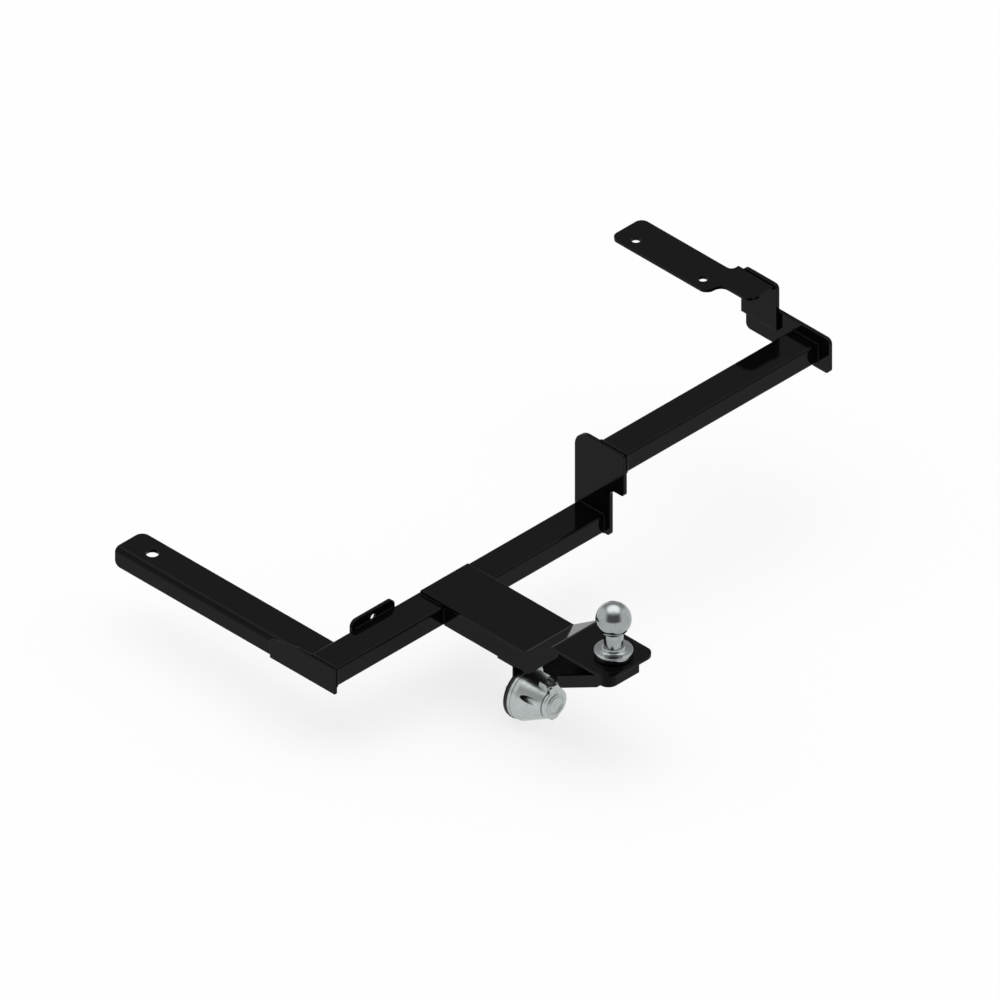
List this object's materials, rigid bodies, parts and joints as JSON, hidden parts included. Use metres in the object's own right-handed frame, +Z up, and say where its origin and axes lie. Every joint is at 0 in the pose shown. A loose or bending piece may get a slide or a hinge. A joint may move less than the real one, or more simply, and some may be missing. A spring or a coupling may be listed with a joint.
{
  "type": "trailer hitch",
  "caption": "Car tow bar: stepped cross beam, mounting arms, bent tongue with a bolted tow ball, and a trailer socket with a hinged lid.",
  "frame": {"origin": "centre of the tow ball", "axes": "-Y towards the trailer, +X along the cross beam towards its raised end, +Z up"},
  "size_m": [0.8978, 0.7431, 0.3007],
  "materials": {
    "painted_steel": "gloss black powder coat",
    "chrome": "polished chrome plate",
    "zinc_steel": "bright zinc plate",
    "cast_aluminium": "die cast, satin",
    "black_rubber": "moulded, matt",
    "black_plastic": "moulded, satin",
    "nickel_brass": "nickel plated brass",
    "stainless_steel": "bright drawn"
  },
  "bodies": {
    "hitch": {"ball_lock_washer": "zinc_steel", "ball_nut": "zinc_steel", "ball_washer": "zinc_steel", "cable_grommet": "black_rubber", "left_arm": "painted_steel", "left_cross_tube": "painted_steel", "left_end_plate": "painted_steel", "left_gusset": "painted_steel", "left_rail": "painted_steel", "lid_hinge_pin": "stainless_steel", "lid_spring": "stainless_steel", "mid_plate": "painted_steel", "platform_skirt": "painted_steel", "rear_tab": "painted_steel", "right_arm_plate": "painted_steel", "right_cross_tube": "painted_steel", "right_end_plate": "painted_steel", "right_gusset": "painted_steel", "right_rail": "painted_steel", "right_upright": "painted_steel", "socket_bracket": "painted_steel", "socket_contacts": "nickel_brass", "socket_gasket": "black_rubber", "socket_housing": "cast_aluminium", "socket_insert": "black_plastic", "socket_nuts": "zinc_steel", "socket_screws": "zinc_steel", "tongue_channel": "painted_steel", "top_plate": "painted_steel", "tow_ball": "chrome"},
    "lid": {"socket_lid": "cast_aluminium", "lid_seal": "black_rubber"}
  },
  "joints": [
    {"name": "lid_hinge", "type": "hinge", "parent": "hitch", "child": "lid", "pos_m": [-0.024, 0.0947, -0.1457], "axis": [-1, 0, 0], "range_deg": [0, 100], "stiffness_Nm_per_rad": 0.02, "springref_deg": -34.38, "deforming": ["lid_spring"]}
  ]
}
